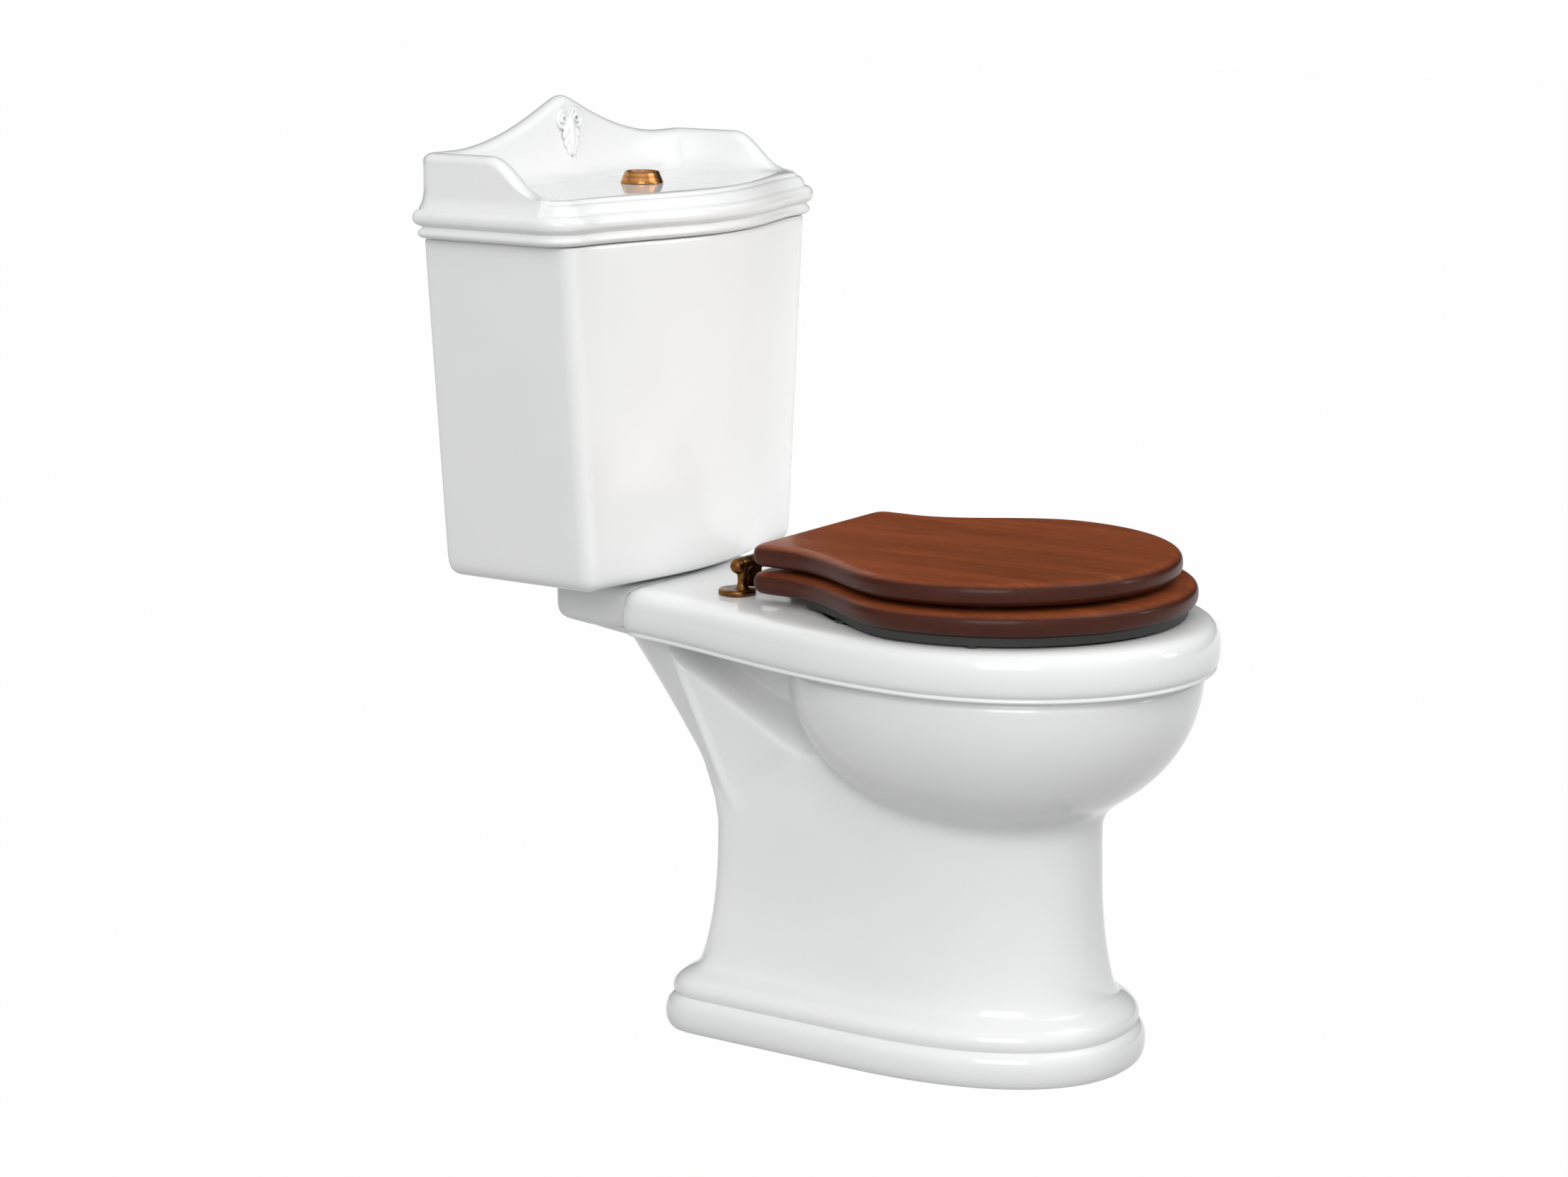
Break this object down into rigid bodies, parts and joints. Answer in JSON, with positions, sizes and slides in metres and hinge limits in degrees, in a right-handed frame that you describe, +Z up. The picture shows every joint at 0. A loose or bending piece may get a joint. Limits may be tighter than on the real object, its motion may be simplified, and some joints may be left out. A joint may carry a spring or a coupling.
{
  "type": "close-coupled toilet",
  "caption": "Traditional close-coupled toilet: pedestal pan on a moulded foot, tapered cistern with a galleried lid, brass push button and a hinged mahogany seat.",
  "frame": {"origin": "centre of the floor outlet, on the floor under the foot", "axes": "+Z up, -Y towards the front of the pan, +Y towards the wall, +X to the right of a person facing the toilet"},
  "size_m": [0.434, 0.73, 0.882],
  "materials": {
    "ceramic": "gloss glaze",
    "mahogany": "gloss varnish",
    "brass": "antique, polished",
    "steel": "satin",
    "rubber": "matte",
    "white_plastic": "satin",
    "grey_plastic": "matte"
  },
  "bodies": {
    "pan_and_cistern": {"pan_foot": "ceramic", "pan_bowl": "ceramic", "pan_rim": "ceramic", "cistern_tank": "ceramic", "cistern_lid": "ceramic", "coupling_gasket": "rubber", "cistern_bolts": "steel", "bolt_seals": "rubber", "bolt_plates": "steel", "bolt_wing_nuts": "steel", "flush_valve_base": "white_plastic", "flush_valve_washer": "rubber", "flush_valve_backnut": "white_plastic", "valve_tower": "white_plastic", "rocker_pins": "steel", "button_bezel": "brass", "button_nut": "white_plastic", "full_flush_spring": "steel", "half_flush_spring": "steel", "fill_valve_body": "white_plastic", "fill_valve_washer": "rubber", "fill_valve_backnut": "white_plastic", "fill_valve_head": "white_plastic", "lever_pin": "steel", "hinge_post_left": "brass", "hinge_post_right": "brass", "hinge_pins": "brass", "hinge_studs": "brass", "stud_washers": "rubber", "stud_wing_nuts": "brass"},
    "seat": {"seat_ring": "mahogany", "seat_leaves": "brass", "seat_leaf_screws": "brass", "seat_strip": "rubber", "seat_feet": "rubber"},
    "seat_cover": {"seat_lid": "mahogany", "lid_leaves": "brass", "lid_leaf_screws": "brass", "lid_buffers": "rubber"},
    "full_key": {"full_flush_key": "brass", "full_flush_rod": "grey_plastic"},
    "half_key": {"half_flush_key": "brass", "half_flush_rod": "grey_plastic"},
    "full_rocker": {"full_flush_rocker": "grey_plastic"},
    "half_rocker": {"half_flush_rocker": "grey_plastic"},
    "stem": {"flush_stem": "white_plastic", "flush_seal": "rubber"},
    "trip": {"half_flush_trip": "grey_plastic"},
    "float": {"float_cup": "grey_plastic", "float_link": "white_plastic"},
    "lever": {"float_lever": "grey_plastic"}
  },
  "joints": [
    {"name": "seat_hinge", "type": "hinge", "parent": "pan_and_cistern", "child": "seat", "pos_m": [0, 0.047, 0.453], "axis": [1, 0, 0], "range_deg": [-93, 0]},
    {"name": "seat_lid_hinge", "type": "hinge", "parent": "seat", "child": "seat_cover", "pos_m": [0, 0.047, 0.453], "axis": [-1, 0, 0], "range_deg": [0, 93]},
    {"name": "full_key_press", "type": "slide", "parent": "pan_and_cistern", "child": "full_key", "axis": [0, 0, -1], "range_m": [0, 0.006], "stiffness_N_per_m": 1500, "deforming": ["full_flush_spring"]},
    {"name": "half_key_press", "type": "slide", "parent": "pan_and_cistern", "child": "half_key", "axis": [0, 0, -1], "range_m": [0, 0.006], "stiffness_N_per_m": 1500, "deforming": ["half_flush_spring"]},
    {"name": "full_rocker_pivot", "type": "hinge", "parent": "pan_and_cistern", "child": "full_rocker", "pos_m": [0.02427, 0.23563, 0.61], "axis": [-0.5878, 0.809, 0], "range_deg": [0, 34]},
    {"name": "half_rocker_pivot", "type": "hinge", "parent": "pan_and_cistern", "child": "half_rocker", "pos_m": [-0.02427, 0.20037, 0.61], "axis": [0.5878, -0.809, 0], "range_deg": [0, 34]},
    {"name": "stem_lift", "type": "slide", "parent": "pan_and_cistern", "child": "stem", "axis": [0, 0, 1], "range_m": [0, 0.0067]},
    {"name": "trip_lift", "type": "slide", "parent": "pan_and_cistern", "child": "trip", "axis": [0, 0, 1], "range_m": [0, 0.0067]},
    {"name": "float_rise", "type": "slide", "parent": "pan_and_cistern", "child": "float", "axis": [0, 0, 1], "range_m": [0, 0.015]},
    {"name": "lever_pivot", "type": "hinge", "parent": "pan_and_cistern", "child": "lever", "pos_m": [0.112, 0.25, 0.677], "axis": [-1, 0, 0], "range_deg": [0, 24]}
  ],
  "couplings": [
    {"joint": "full_rocker_pivot", "follows": "full_key_press", "rad_per_m": 95},
    {"joint": "half_rocker_pivot", "follows": "half_key_press", "rad_per_m": 95},
    {"joint": "stem_lift", "follows": "full_key_press", "ratio": 1.1},
    {"joint": "trip_lift", "follows": "half_key_press", "ratio": 1.1},
    {"joint": "lever_pivot", "follows": "float_rise", "rad_per_m": 27.4}
  ]
}
